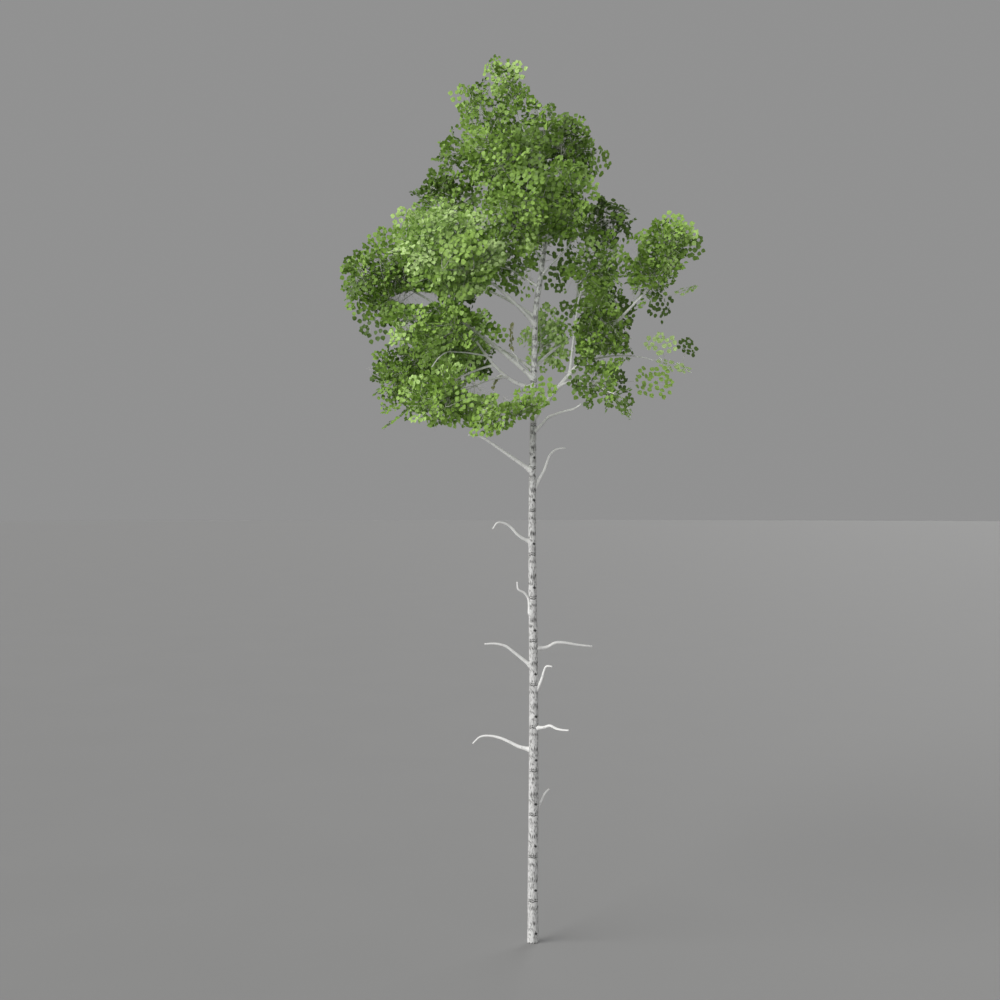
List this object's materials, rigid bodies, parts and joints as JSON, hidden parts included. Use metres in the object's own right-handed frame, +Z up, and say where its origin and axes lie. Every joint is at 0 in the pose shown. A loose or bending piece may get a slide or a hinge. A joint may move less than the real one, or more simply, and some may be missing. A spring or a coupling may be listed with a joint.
{
  "type": "aspen tree",
  "caption": "Slender pale-barked aspen with a flat-cut trunk, bare dead limbs on its lower half and a loose crown of leafy sprays on tapering boughs.",
  "frame": {"origin": "on the ground at the middle of the flat cut under the trunk", "axes": "+Z up along the trunk, +X to the right and +Y away seen from the picture's side"},
  "size_m": [4.8828, 4.0833, 11.9988],
  "materials": {
    "trunk_bark": "smooth pale grey bark with dark eyes, bands and short dark strokes",
    "limb_bark": "smooth pale grey bark",
    "dead_wood": "dry weathered pale grey bark",
    "leaves": "thin green leaves with a soft sheen"
  },
  "bodies": {
    "root": {"trunk": "trunk_bark", "bough_right_long": "limb_bark", "bough_right_rising": "limb_bark", "bough_right_low": "limb_bark", "bough_right_level": "limb_bark", "bough_right_front": "limb_bark", "bough_left_long": "limb_bark", "bough_left_low": "limb_bark", "bough_left_level": "limb_bark", "bough_left_front": "limb_bark", "bough_left_middle": "limb_bark", "bough_front_low": "limb_bark", "bough_right_slim": "limb_bark", "leader_right": "limb_bark", "bough_back_right": "limb_bark", "bough_back_right_low": "limb_bark", "bough_back_left": "limb_bark", "bough_back_left_low": "limb_bark", "dead_limb_01": "dead_wood", "dead_limb_02": "dead_wood", "dead_limb_03": "dead_wood", "dead_limb_04": "dead_wood", "dead_limb_05": "dead_wood", "dead_limb_06": "dead_wood", "dead_limb_07": "dead_wood", "dead_limb_08": "dead_wood", "dead_limb_09": "dead_wood", "dead_limb_10": "dead_wood", "dead_limb_11": "dead_wood", "dead_twig_hooked": "dead_wood", "dead_twig_arched": "dead_wood", "dead_twig_upright": "dead_wood", "foliage_top": "leaves", "foliage_top_left": "leaves", "foliage_top_right": "leaves", "foliage_leader_right": "leaves", "foliage_upper_front": "leaves", "foliage_upper_left": "leaves", "foliage_left_shoulder": "leaves", "foliage_right_slim": "leaves", "foliage_middle_front": "leaves", "foliage_left_middle": "leaves", "foliage_far_left": "leaves", "foliage_left_behind": "leaves", "foliage_back_right": "leaves", "foliage_right_rising": "leaves", "foliage_far_right": "leaves", "foliage_right_front": "leaves", "foliage_right_low": "leaves", "foliage_right_level": "leaves", "foliage_behind_trunk": "leaves", "foliage_left_low": "leaves", "foliage_left_level": "leaves", "foliage_left_front": "leaves", "foliage_front_low": "leaves", "foliage_upper_back": "leaves", "foliage_back_left": "leaves", "foliage_back_left_low": "leaves", "foliage_back_right_low": "leaves", "foliage_back_middle": "leaves"}
  },
  "joints": []
}
